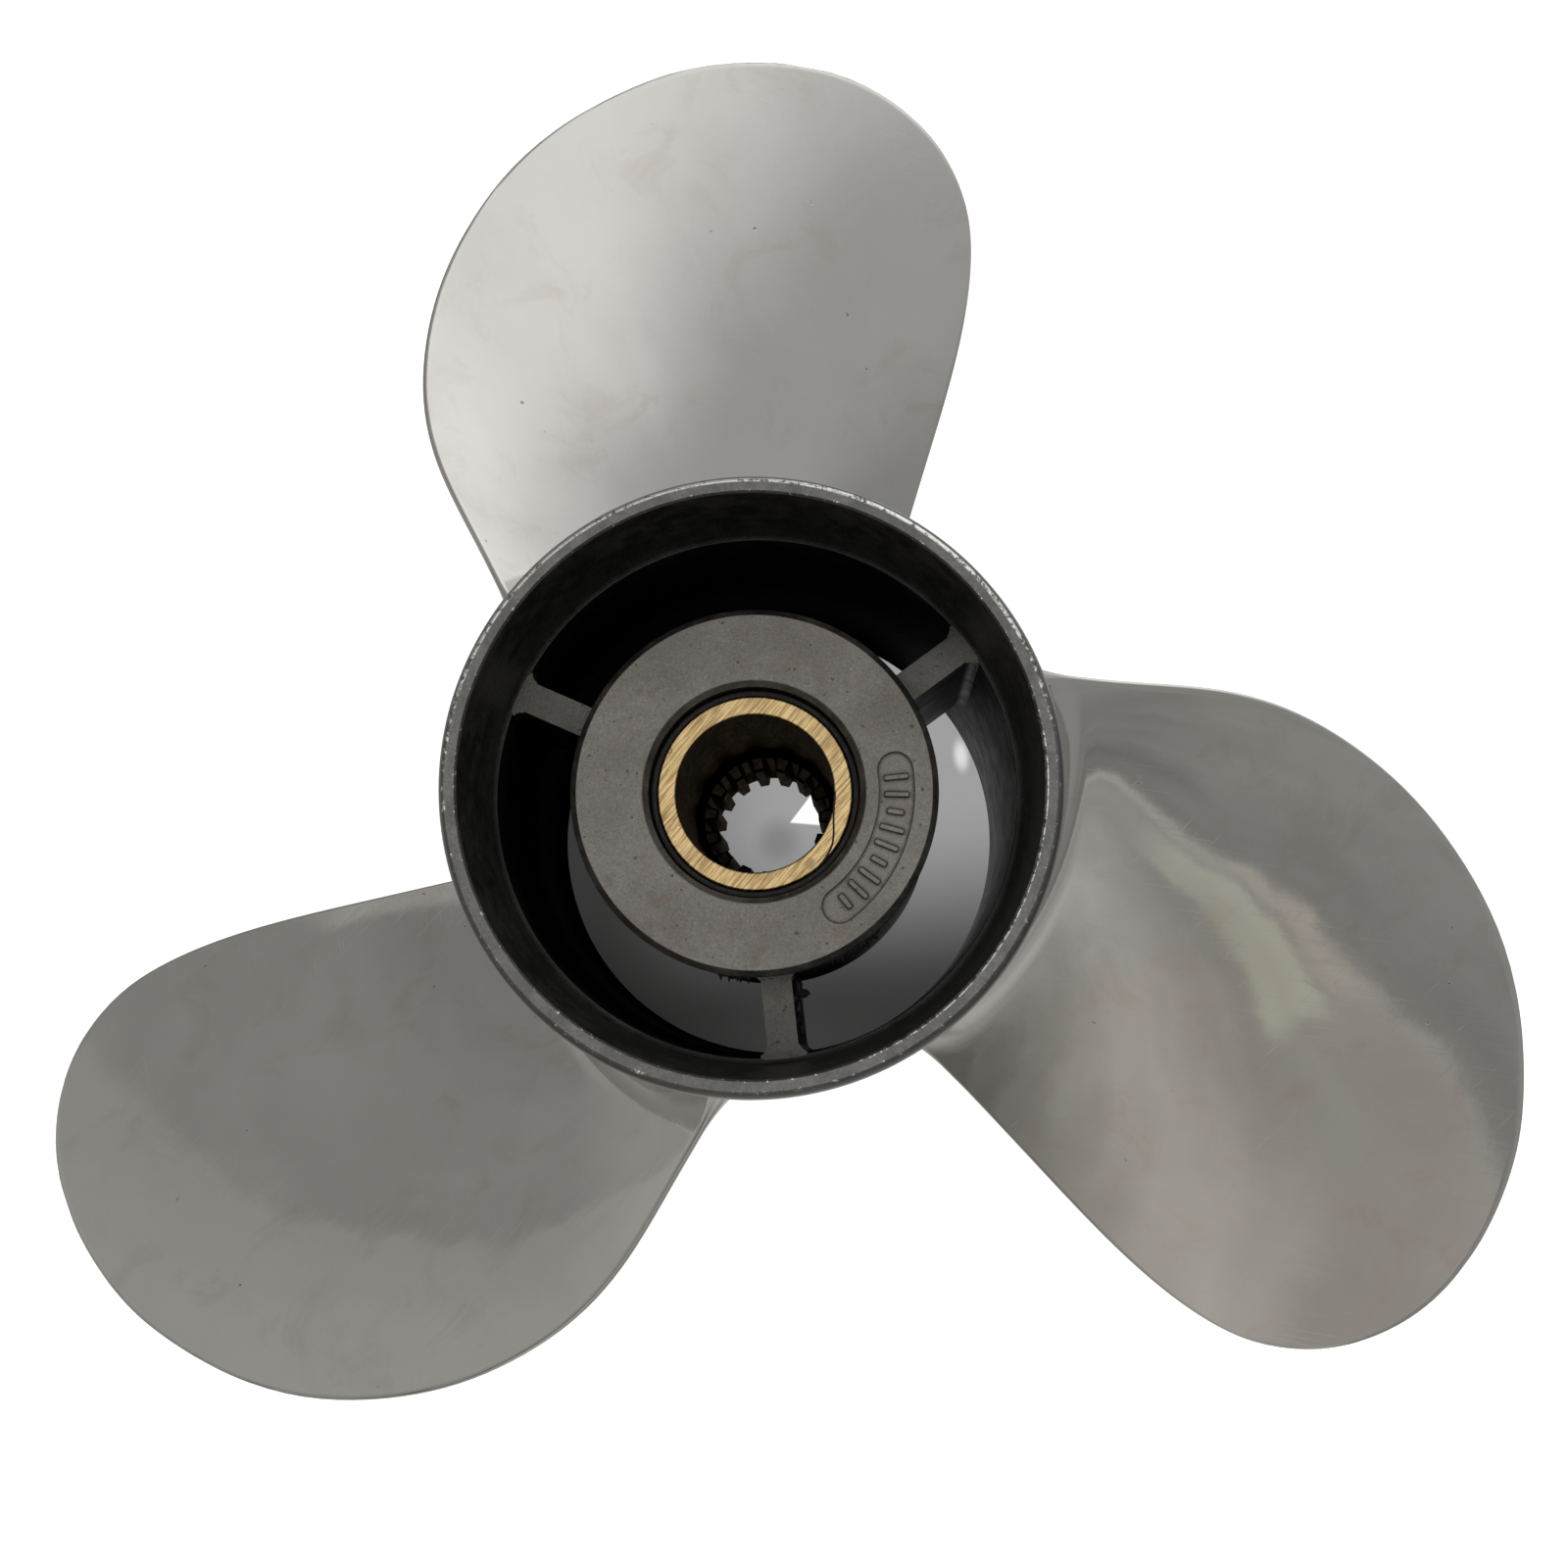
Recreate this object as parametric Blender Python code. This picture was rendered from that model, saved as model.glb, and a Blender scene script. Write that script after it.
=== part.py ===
"""Right-hand, three-blade, through-hub-exhaust outboard propeller, 13 1/4 in diameter, 17 in pitch.

Metres, +Z aft along the shaft axis. Z = 0 is the forward end of the barrel. Blade 1 points along +Y.
"""

import math

import bmesh
import bpy

MM = 0.001

# Barrel and aft ring
HUB_LENGTH = 124.0
BARREL_RADIUS = 51.3
BARREL_BORE = 46.8
BARREL_TOP = 99.4
RING_FOOT = 99.7
RING_RADIUS = 53.6
LIP_OUTER = 52.4
LIP_INNER = 50.4
RING_FOOT_BORE = 48.0

# Inner hub, bush and sleeve
INNER_HUB_RADIUS = 32.6
INNER_HUB_FOOT = 26.0
HUB_FACE = 108.5
SHOULDER_BORE = 18.7
SOCKET_RADIUS = 28.5
SOCKET_TOP = 103.0
BUSH_OUTER = 28.2
BUSH_INNER = 17.7
BUSH_FOOT = 27.5
BUSH_TOP = 102.7
BUSH_COLLAR_TOP = 104.2
BUSH_COLLAR = 18.4
SLEEVE_RADIUS = 17.4
SLEEVE_FOOT = 20.0
SLEEVE_TOP = 105.2
COUNTERBORE = 14.1
SPLINE_TOP = 50.0
SPLINE_FOOT = 24.0
SPLINE_MAJOR = 12.7
SPLINE_MINOR = 10.1
TEETH = 15

# Ribs
RIB_HALF = 2.7
RIB_FILLET = 2.2
RIB_FOOT = 42.0
RIB_ANGLE = 29.5
RIB_INNER = 32.9
RIB_OUTER = 46.5

# Blades: the helicoid, and the stations of its outline as radius, leading and trailing angle, thickness
BLADE_COUNT = 3
PITCH = 431.8
REFERENCE_HEIGHT = 35.0
CAMBER = 20.0
STATIONS = (
    (51.75, -33.0, 47.0, 8.5),
    (58.0, -31.7, 44.6, 7.9),
    (66.0, -30.4, 41.8, 7.2),
    (76.0, -29.4, 39.2, 6.4),
    (88.0, -28.6, 36.6, 5.7),
    (100.0, -28.0, 33.4, 5.1),
    (112.0, -27.4, 29.3, 4.6),
    (124.0, -26.6, 24.6, 4.1),
    (136.0, -25.4, 19.2, 3.6),
    (146.0, -23.8, 14.1, 3.2),
    (154.0, -21.6, 9.0, 2.8),
    (160.0, -19.1, 4.3, 2.5),
    (164.5, -16.1, 0.0, 2.2),
    (167.3, -12.9, -4.6, 1.8),
)
TIP_RADIUS = 168.275
TIP_ANGLE = -9.0
CHORD_STEPS = 18


def clear_scene():
    for obj in list(bpy.data.objects):
        bpy.data.objects.remove(obj, do_unlink=True)
    for old in list(bpy.data.collections):
        bpy.data.collections.remove(old)


def material(name, colour, metallic, roughness):
    made = bpy.data.materials.new(name)
    made.use_nodes = True
    shader = made.node_tree.nodes["Principled BSDF"]
    shader.inputs["Base Color"].default_value = (*colour, 1.0)
    shader.inputs["Metallic"].default_value = metallic
    shader.inputs["Roughness"].default_value = roughness
    return made


def finish(name, mesh, look, home, smooth_angle=32.0):
    """Makes the object of this mesh, shaded smooth except across sharp edges."""
    obj = bpy.data.objects.new(name, mesh)
    home.objects.link(obj)
    mesh.materials.append(look)
    bm = bmesh.new()
    bm.from_mesh(mesh)
    bmesh.ops.recalc_face_normals(bm, faces=bm.faces)
    for edge in bm.edges:
        edge.smooth = len(edge.link_faces) == 2 and edge.calc_face_angle() < math.radians(smooth_angle)
    for face in bm.faces:
        face.smooth = True
    bm.to_mesh(mesh)
    bm.free()
    return obj


def turned(name, profile, look, home, steps=96):
    """A ring turned round +Z from a closed profile of (radius, height) pairs in millimetres."""
    bm = bmesh.new()
    rows = []
    for step in range(steps):
        angle = math.tau * step / steps
        cos, sin = math.cos(angle) * MM, math.sin(angle) * MM
        rows.append([bm.verts.new((r * cos, r * sin, z * MM)) for r, z in profile])
    count = len(profile)
    for step in range(steps):
        here, there = rows[step], rows[(step + 1) % steps]
        for i in range(count):
            j = (i + 1) % count
            bm.faces.new((here[i], there[i], there[j], here[j]))
    mesh = bpy.data.meshes.new(name)
    bm.to_mesh(mesh)
    bm.free()
    return finish(name, mesh, look, home)


def barrel_profile():
    return [
        (BARREL_RADIUS, 1.2),
        (BARREL_RADIUS, BARREL_TOP),
        (BARREL_BORE, BARREL_TOP),
        (BARREL_BORE, 1.0),
        (BARREL_BORE + 0.6, 0.0),
        (BARREL_RADIUS - 1.2, 0.0),
    ]


def ring_profile():
    cove = []
    for i in range(7):
        turn = math.pi / 2 * i / 6
        cove.append((BARREL_RADIUS + 2.3 * (1 - math.cos(turn)), 110.5 + 4.5 * math.sin(turn)))
    return [
        (BARREL_RADIUS, RING_FOOT),
        *cove,
        (RING_RADIUS, 120.6),
        (RING_RADIUS - 0.3, 121.4),
        (LIP_OUTER + 0.3, 123.5),
        (LIP_OUTER - 0.3, HUB_LENGTH),
        (LIP_INNER + 0.3, HUB_LENGTH),
        (LIP_INNER - 0.2, HUB_LENGTH - 0.7),
        (RING_FOOT_BORE, RING_FOOT),
    ]


def inner_hub_profile():
    return [
        (INNER_HUB_RADIUS - 1.0, INNER_HUB_FOOT),
        (INNER_HUB_RADIUS, INNER_HUB_FOOT + 1.0),
        (INNER_HUB_RADIUS, HUB_FACE - 1.0),
        (INNER_HUB_RADIUS - 0.3, HUB_FACE - 0.3),
        (INNER_HUB_RADIUS - 1.0, HUB_FACE),
        (SHOULDER_BORE + 1.0, HUB_FACE),
        (SHOULDER_BORE + 0.3, HUB_FACE - 0.5),
        (SHOULDER_BORE, HUB_FACE - 1.4),
        (SHOULDER_BORE, SOCKET_TOP),
        (SOCKET_RADIUS, SOCKET_TOP),
        (SOCKET_RADIUS, INNER_HUB_FOOT + 0.8),
        (SOCKET_RADIUS + 0.8, INNER_HUB_FOOT),
    ]


def bush_profile():
    return [
        (BUSH_INNER, BUSH_FOOT),
        (BUSH_OUTER - 1.5, BUSH_FOOT),
        (BUSH_OUTER, BUSH_FOOT + 4.0),
        (BUSH_OUTER, BUSH_TOP),
        (BUSH_COLLAR, BUSH_TOP),
        (BUSH_COLLAR, BUSH_COLLAR_TOP),
        (BUSH_INNER, BUSH_COLLAR_TOP),
    ]


def spline_section():
    """Radius and angle of the spline's inner outline, tooth by tooth."""
    pitch = math.tau / TEETH
    section = []
    for tooth in range(TEETH):
        middle = pitch * tooth
        section.append((SPLINE_MAJOR, middle - 0.50 * pitch))
        section.append((SPLINE_MAJOR, middle - 0.34 * pitch))
        section.append((SPLINE_MINOR, middle - 0.19 * pitch))
        section.append((SPLINE_MINOR, middle))
        section.append((SPLINE_MINOR, middle + 0.19 * pitch))
        section.append((SPLINE_MAJOR, middle + 0.34 * pitch))
    return section


def splined_sleeve(name, look, home):
    """The sleeve: each row is one closed loop round the axis, from the outside, over the aft face, down the bore."""
    section = spline_section()
    plain = lambda radius: [(radius, angle) for _, angle in section]
    rows = [
        (plain(SLEEVE_RADIUS - 0.6), SLEEVE_FOOT),
        (plain(SLEEVE_RADIUS), SLEEVE_FOOT + 0.6),
        (plain(SLEEVE_RADIUS), SLEEVE_TOP - 0.4),
        (plain(SLEEVE_RADIUS - 0.4), SLEEVE_TOP),
        (plain(COUNTERBORE + 0.3), SLEEVE_TOP),
        (plain(COUNTERBORE), SLEEVE_TOP - 0.3),
        (plain(COUNTERBORE), SPLINE_TOP + 1.4),
        (section, SPLINE_TOP),
        (section, SPLINE_FOOT),
        (plain(SPLINE_MAJOR + 0.4), SPLINE_FOOT - 2.0),
        (plain(SPLINE_MAJOR + 1.2), SLEEVE_FOOT),
    ]
    bm = bmesh.new()
    loops = []
    for outline, z in rows:
        loops.append([bm.verts.new((r * math.cos(a) * MM, r * math.sin(a) * MM, z * MM)) for r, a in outline])
    count = len(section)
    for k in range(len(loops)):
        low, high = loops[k], loops[(k + 1) % len(loops)]
        for i in range(count):
            j = (i + 1) % count
            bm.faces.new((low[i], low[j], high[j], high[i]))
    mesh = bpy.data.meshes.new(name)
    bm.to_mesh(mesh)
    bm.free()
    return finish(name, mesh, look, home, 20.0)


def rib_outline():
    """The rib seen along the axis, pointing along +X: straight flanks that flare into the barrel wall."""
    reach = RIB_OUTER - RIB_FILLET
    centre_y = RIB_HALF + RIB_FILLET
    centre_x = math.sqrt(reach * reach - centre_y * centre_y)
    lean = math.atan2(centre_y, centre_x)
    side = [(math.sqrt(RIB_INNER ** 2 - RIB_HALF ** 2), -RIB_HALF)]
    for i in range(7):
        turn = (math.pi / 2 - lean) * i / 6
        side.append((centre_x + RIB_FILLET * math.sin(turn), -centre_y + RIB_FILLET * math.cos(turn)))
    edge = math.atan2(-side[-1][1], side[-1][0])
    outer = []
    for i in range(1, 6):
        angle = -edge + 2 * edge * i / 6
        outer.append((RIB_OUTER * math.cos(angle), RIB_OUTER * math.sin(angle)))
    inner = []
    half = math.asin(RIB_HALF / RIB_INNER)
    for i in range(1, 4):
        angle = half - 2 * half * i / 4
        inner.append((RIB_INNER * math.cos(angle), RIB_INNER * math.sin(angle)))
    return side + outer + [(x, -y) for x, y in reversed(side)] + inner


def rib(name, angle, look, home):
    cos, sin = math.cos(angle), math.sin(angle)
    bm = bmesh.new()
    foot = []
    top = []
    for x, y in rib_outline():
        place = ((x * cos - y * sin) * MM, (x * sin + y * cos) * MM)
        foot.append(bm.verts.new((*place, RIB_FOOT * MM)))
        top.append(bm.verts.new((*place, BARREL_TOP * MM)))
    bm.faces.new(foot)
    bm.faces.new(top)
    for i in range(len(foot)):
        j = (i + 1) % len(foot)
        bm.faces.new((foot[i], foot[j], top[j], top[i]))
    mesh = bpy.data.meshes.new(name)
    bm.to_mesh(mesh)
    bm.free()
    return finish(name, mesh, look, home)


def face_height(phi):
    """Height of the pressure face at this angle from the blade's reference line, in millimetres."""
    return REFERENCE_HEIGHT + PITCH * phi / math.tau + CAMBER * phi * phi


def face_slope(phi):
    return PITCH / math.tau + 2 * CAMBER * phi


def blade(name, angle, look, home):
    """Two skins, pressure face and back, that meet along the leading edge, the trailing edge and the tip."""
    bm = bmesh.new()
    face_rows = []
    back_rows = []
    for radius, leading, trailing, thick in STATIONS:
        face_row = []
        back_row = []
        for step in range(CHORD_STEPS + 1):
            along = (1 - math.cos(math.pi * step / CHORD_STEPS)) / 2
            phi = math.radians(leading + (trailing - leading) * along)
            slope = face_slope(phi)
            length = math.hypot(slope, radius)
            depth = thick * (1 - abs(2 * along - 1) ** 2.4) ** 0.6
            turn = phi + angle
            spot = (radius * math.cos(turn), radius * math.sin(turn), face_height(phi))
            normal = (slope * math.sin(turn) / length, -slope * math.cos(turn) / length, radius / length)
            face_row.append(bm.verts.new([c * MM for c in spot]))
            if step in (0, CHORD_STEPS):
                back_row.append(face_row[-1])
            else:
                back_row.append(bm.verts.new([(c - depth * n) * MM for c, n in zip(spot, normal)]))
        face_rows.append(face_row)
        back_rows.append(back_row)
    turn = math.radians(TIP_ANGLE)
    tip_place = (
        TIP_RADIUS * math.cos(turn + angle),
        TIP_RADIUS * math.sin(turn + angle),
        face_height(turn) - 0.4,
    )
    tip = bm.verts.new([c * MM for c in tip_place])
    for rows in (face_rows, back_rows):
        for k in range(len(rows) - 1):
            for i in range(CHORD_STEPS):
                bm.faces.new((rows[k][i], rows[k][i + 1], rows[k + 1][i + 1], rows[k + 1][i]))
        for i in range(CHORD_STEPS):
            bm.faces.new((rows[-1][i], rows[-1][i + 1], tip))
    face_root, back_root = face_rows[0], back_rows[0]
    for i in range(CHORD_STEPS):
        corners = [face_root[i], face_root[i + 1], back_root[i + 1], back_root[i]]
        bm.faces.new(list(dict.fromkeys(corners)))
    mesh = bpy.data.meshes.new(name)
    bm.to_mesh(mesh)
    bm.free()
    return finish(name, mesh, look, home, 50.0)


def main():
    clear_scene()
    home = bpy.data.collections.new("boat_propeller")
    bpy.context.scene.collection.children.link(home)
    polished = material("polished_stainless", (0.62, 0.61, 0.59), 1.0, 0.16)
    as_cast = material("as_cast_stainless", (0.33, 0.32, 0.30), 1.0, 0.55)
    brass = material("sleeve_brass", (0.72, 0.58, 0.34), 1.0, 0.35)
    rubber = material("bush_rubber", (0.02, 0.02, 0.02), 0.0, 0.75)

    turned("hub_barrel", barrel_profile(), polished, home)
    turned("diffuser_ring", ring_profile(), as_cast, home)
    turned("inner_hub", inner_hub_profile(), as_cast, home, 72)
    turned("rubber_bush", bush_profile(), rubber, home, 72)
    splined_sleeve("splined_sleeve", brass, home)
    for k in range(BLADE_COUNT):
        rib(f"rib_{k + 1}", math.radians(RIB_ANGLE + 120.0 * k), as_cast, home)
    for k in range(BLADE_COUNT):
        blade(f"blade_{k + 1}", math.radians(90.0 - 120.0 * k), polished, home)


main()
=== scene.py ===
"""Looks of the boat propeller: polished stainless blades, cast exhaust hub, brass sleeve, rubber bush."""

import math

import bmesh
import bpy
import numpy as np
from mathutils import Matrix, Vector


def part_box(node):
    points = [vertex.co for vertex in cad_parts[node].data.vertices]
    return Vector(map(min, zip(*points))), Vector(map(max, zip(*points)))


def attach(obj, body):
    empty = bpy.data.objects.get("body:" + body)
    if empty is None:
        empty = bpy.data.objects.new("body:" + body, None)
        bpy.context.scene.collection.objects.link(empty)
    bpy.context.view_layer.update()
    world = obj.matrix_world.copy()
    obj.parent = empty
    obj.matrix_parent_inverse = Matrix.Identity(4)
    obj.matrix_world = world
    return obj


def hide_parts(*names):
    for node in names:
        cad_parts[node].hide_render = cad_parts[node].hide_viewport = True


MM = 0.001

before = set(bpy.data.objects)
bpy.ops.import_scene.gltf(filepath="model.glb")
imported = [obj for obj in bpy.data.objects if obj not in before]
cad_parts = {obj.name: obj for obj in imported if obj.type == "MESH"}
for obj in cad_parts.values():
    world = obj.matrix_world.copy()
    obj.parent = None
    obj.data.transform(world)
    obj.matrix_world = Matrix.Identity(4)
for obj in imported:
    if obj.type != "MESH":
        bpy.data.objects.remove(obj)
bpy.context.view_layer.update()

# Sizes in millimetres, as in the CAD model
HUB_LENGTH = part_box("diffuser_ring")[1][2] / MM
BARREL_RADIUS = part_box("hub_barrel")[1][0] / MM
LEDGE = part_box("hub_barrel")[1][2] / MM
HUB_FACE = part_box("inner_hub")[1][2] / MM
HUB_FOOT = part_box("inner_hub")[0][2] / MM
HUB_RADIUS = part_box("inner_hub")[1][0] / MM
SLEEVE_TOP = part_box("splined_sleeve")[1][2] / MM
SLEEVE_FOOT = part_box("splined_sleeve")[0][2] / MM
RIB_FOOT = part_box("rib_1")[0][2] / MM
BARREL_BORE = 46.8
RING_RADIUS = 53.6
SHOULDER_BORE = 18.7
SLEEVE_RADIUS = 17.4
COUNTERBORE = 14.1
SPLINE_MAJOR = 12.7
SPLINE_MINOR = 10.1
SPLINE_END = 11.6
SPLINE_TOP = 50.0
SPLINE_FOOT = 22.0
SPLINE_TURN = -2.0  # degrees
TEETH = 15
RIB_ANGLE = 29.5  # degrees
RIB_HALF = 2.75
BUSH_SEAT = 28.5  # bore of the inner hub round the bush
BUSH_TOP = 103.0
FLASH_HEIGHT = 93.0
PATCH_RADIUS = 0.0505  # metres, inside the ring
ROUND = 192  # steps round a full turn

# Blade: helicoid and outline stations, as in the CAD model
PITCH = 431.8
REFERENCE_HEIGHT = 35.0
CAMBER = 20.0
TIP_RADIUS = 168.275
TIP_ANGLE = -9.0
STATIONS = (
    (51.75, -33.0, 47.0, 8.5),
    (58.0, -31.7, 44.6, 7.9),
    (66.0, -30.4, 41.8, 7.2),
    (76.0, -29.4, 39.2, 6.4),
    (88.0, -28.6, 36.6, 5.7),
    (100.0, -28.0, 33.4, 5.1),
    (112.0, -27.4, 29.3, 4.6),
    (124.0, -26.6, 24.6, 4.1),
    (136.0, -25.4, 19.2, 3.6),
    (146.0, -23.8, 14.1, 3.2),
    (154.0, -21.6, 9.0, 2.8),
    (160.0, -19.1, 4.3, 2.5),
    (164.5, -16.1, 0.0, 2.2),
    (167.3, -12.9, -4.6, 1.8),
    (TIP_RADIUS, TIP_ANGLE, TIP_ANGLE, 1.5),
)
EDGE_HALF = 0.65  # half the thickness left at the edge
EDGE_ROUND = 0.9
FILLET = 10.5  # how far the root fillet climbs the blade
FILLET_ROWS = 18
SPAN_END = 152.0  # rows are even up to here, then close up to the tip
SPAN_ROWS = 40
TIP_ROWS = 26


# ---------------------------------------------------------------- node helpers


class Nodes:
    """Short calls for building a material's or the world's node tree."""

    def __init__(self, tree):
        self.tree = tree

    def add(self, kind, **values):
        node = self.tree.nodes.new(kind)
        for key, value in values.items():
            setattr(node, key, value)
        return node

    def feed(self, socket, value):
        if isinstance(value, bpy.types.NodeSocket):
            self.tree.links.new(value, socket)
        elif value is not None:
            socket.default_value = value

    def math(self, operation, a, b=None, c=None, clamp=False):
        node = self.add("ShaderNodeMath", operation=operation, use_clamp=clamp)
        for socket, value in zip(node.inputs, (a, b, c)):
            self.feed(socket, value)
        return node.outputs[0]

    def vector(self, operation, a, b=None, scale=None):
        node = self.add("ShaderNodeVectorMath", operation=operation)
        self.feed(node.inputs[0], a)
        self.feed(node.inputs[1], b)
        if scale is not None:
            self.feed(node.inputs["Scale"], scale)
        return node.outputs["Value"] if operation in ("DOT_PRODUCT", "LENGTH") else node.outputs[0]

    def split(self, vector):
        node = self.add("ShaderNodeSeparateXYZ")
        self.feed(node.inputs[0], vector)
        return node.outputs

    def ramp(self, value, low, high, to_low=0.0, to_high=1.0):
        node = self.add("ShaderNodeMapRange", interpolation_type="SMOOTHSTEP")
        for socket, given in zip(node.inputs, (value, low, high, to_low, to_high)):
            self.feed(socket, given)
        return node.outputs[0]

    def mix(self, factor, a, b):
        node = self.add("ShaderNodeMix", data_type="RGBA")
        self.feed(node.inputs["Factor"], factor)
        self.feed(node.inputs[6], a)
        self.feed(node.inputs[7], b)
        return node.outputs[2]

    def noise(self, vector, scale, detail=2.0, rough=0.5, distortion=0.0):
        node = self.add("ShaderNodeTexNoise")
        self.feed(node.inputs["Vector"], vector)
        self.feed(node.inputs["Scale"], scale)
        self.feed(node.inputs["Detail"], detail)
        self.feed(node.inputs["Roughness"], rough)
        self.feed(node.inputs["Distortion"], distortion)
        return node.outputs[0]

    def mapped(self, vector, scale=(1, 1, 1), turn=0.0):
        """Turns the coordinates about Z, then stretches them."""
        node = self.add("ShaderNodeMapping", vector_type="TEXTURE")
        self.feed(node.inputs["Vector"], vector)
        self.feed(node.inputs["Rotation"], (0.0, 0.0, turn))
        self.feed(node.inputs["Scale"], tuple(1.0 / s for s in scale))
        return node.outputs[0]

    def bump(self, height, strength, distance, normal=None):
        node = self.add("ShaderNodeBump")
        self.feed(node.inputs["Height"], height)
        self.feed(node.inputs["Strength"], strength)
        self.feed(node.inputs["Distance"], distance)
        if normal is not None:
            self.feed(node.inputs["Normal"], normal)
        return node.outputs[0]


def new_material(name):
    """A new material, its node calls, its shader and the coordinates on the object in metres."""
    made = bpy.data.materials.new(name)
    made.use_nodes = True
    tree = made.node_tree
    shader = tree.nodes["Principled BSDF"]
    nodes = Nodes(tree)
    place = nodes.add("ShaderNodeTexCoord").outputs["Object"]
    return made, nodes, shader, place


def rgb(r, g, b):
    return (r, g, b, 1.0)


# ------------------------------------------------------------------- materials


def polished_steel(name, seed, turn=0.0):
    """Hand-polished stainless: soft mirror, gentle waves along the blade, fine hairlines, faint stains, a few pits.
    seed shifts the pattern, and turn (radians) turns it with the blade."""
    made, n, shader, place = new_material(name)
    shader.inputs["Metallic"].default_value = 1.0
    place = n.vector("ADD", n.mapped(place, turn=turn), (0.37 * seed, 0.53 * seed, 0.0))
    cloud = n.noise(place, 30.0, 4.0, 0.6, 0.4)
    stain = n.noise(place, 62.0, 5.0, 0.62, 0.8)
    fine = n.noise(place, 420.0, 4.0, 0.6)
    hair_a = n.noise(n.mapped(place, (55, 2600, 55), 0.25), 1.0, 2.0)
    hair_b = n.noise(n.mapped(place, (2300, 90, 90), -0.35), 1.0, 2.0)
    hairs = n.math("MAXIMUM", n.ramp(hair_a, 0.62, 0.74), n.ramp(hair_b, 0.66, 0.78))
    pit_node = n.add("ShaderNodeTexVoronoi", feature="F1")
    n.feed(pit_node.inputs["Vector"], place)
    n.feed(pit_node.inputs["Scale"], 150.0)
    pits = n.ramp(pit_node.outputs["Distance"], 0.05, 0.09, 1.0, 0.0)
    pits = n.math("MULTIPLY", pits, n.ramp(fine, 0.57, 0.63))
    tint = n.mix(n.ramp(cloud, 0.35, 0.7), rgb(0.615, 0.606, 0.578), rgb(0.585, 0.574, 0.545))
    tint = n.mix(n.ramp(stain, 0.52, 0.70, 0.0, 0.60), tint, rgb(0.560, 0.512, 0.470))
    tint = n.mix(n.math("MULTIPLY", hairs, 0.10), tint, rgb(0.70, 0.69, 0.67))
    tint = n.mix(n.math("MULTIPLY", pits, 0.7), tint, rgb(0.14, 0.13, 0.12))
    n.feed(shader.inputs["Base Color"], tint)
    rough = n.math("ADD", n.ramp(stain, 0.35, 0.72, 0.045, 0.095), n.math("MULTIPLY", hairs, 0.06))
    n.feed(shader.inputs["Roughness"], rough)
    waves = n.noise(place, 20.0, 1.5, 0.45, 0.3)
    streaks = n.noise(n.mapped(place, (13, 95, 45), 0.12), 1.0, 2.0, 0.5, 0.6)
    normal = n.bump(waves, 0.20, 0.0016)
    normal = n.bump(streaks, 0.05, 0.0009, normal)
    normal = n.bump(fine, 0.10, 0.00005, normal)
    normal = n.bump(hairs, 0.20, 0.00002, normal)
    normal = n.bump(pits, 0.5, -0.00008, normal)
    n.feed(shader.inputs["Normal"], normal)
    return made


def cast_steel(name, dark, light, roughness, depth_shade=None, corner_shade=False):
    """As-cast, blasted stainless: fine grain, mottled tone, small pores. The depth argument, (low, high, colour),
    darkens it with depth as painted shade, between two heights in millimetres; the corner flag paints shade into
    narrow corners."""
    made, n, shader, place = new_material(name)
    shader.inputs["Metallic"].default_value = 1.0
    grain = n.noise(place, 3000.0, 3.0, 0.7)
    mottle = n.noise(place, 210.0, 5.0, 0.66, 0.4)
    broad = n.noise(place, 55.0, 3.0, 0.55, 0.5)
    tone = n.math("ADD", n.math("MULTIPLY", mottle, 0.6), n.math("MULTIPLY", broad, 0.4))
    tint = n.mix(n.ramp(tone, 0.38, 0.62), rgb(*dark), rgb(*light))
    rusty = rgb(dark[0], dark[1] * 0.87, dark[2] * 0.78)
    rust = n.ramp(n.noise(place, 330.0, 4.0, 0.7, 0.6), 0.50, 0.72, 0.0, 0.50)
    tint = n.mix(rust, tint, rusty)
    tint = n.mix(n.ramp(grain, 0.30, 0.60, 0.42, 0.0), tint, rgb(*[c * 0.45 for c in dark]))
    tint = n.mix(n.ramp(grain, 0.60, 0.76, 0.0, 0.45), tint, rgb(*[c * 1.9 for c in light]))
    pores = n.ramp(n.noise(place, 800.0, 1.0), 0.72, 0.79)
    tint = n.mix(n.math("MULTIPLY", pores, 0.6), tint, rgb(*[c * 0.3 for c in dark]))
    if corner_shade:
        # painted shade: darker where the surface is closed in within 0.9 mm
        near = n.add("ShaderNodeAmbientOcclusion", samples=6)
        near.inputs["Distance"].default_value = 0.9 * MM
        corner = n.ramp(near.outputs["AO"], 0.55, 0.92, 0.85, 0.0)
        tint = n.mix(corner, tint, rgb(*[c * 0.16 for c in dark]))
    # painted shade: darker the lower it lies, deeper in the bore
    if depth_shade:
        low, high, colour = depth_shade
        uneven = n.math("MULTIPLY", n.math("SUBTRACT", broad, 0.5), 0.03)
        depth = n.math("ADD", n.split(place)[2], uneven)
        tint = n.mix(n.ramp(depth, low * MM, high * MM, 0.0, 1.0), rgb(*colour), tint)
    n.feed(shader.inputs["Base Color"], tint)
    n.feed(shader.inputs["Roughness"], n.ramp(mottle, 0.3, 0.7, roughness - 0.06, roughness + 0.08))
    normal = n.bump(mottle, 0.22, 0.00035)
    normal = n.bump(grain, 0.45, 0.00009, normal)
    normal = n.bump(pores, 0.5, -0.00010, normal)
    n.feed(shader.inputs["Normal"], normal)
    return made


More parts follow.
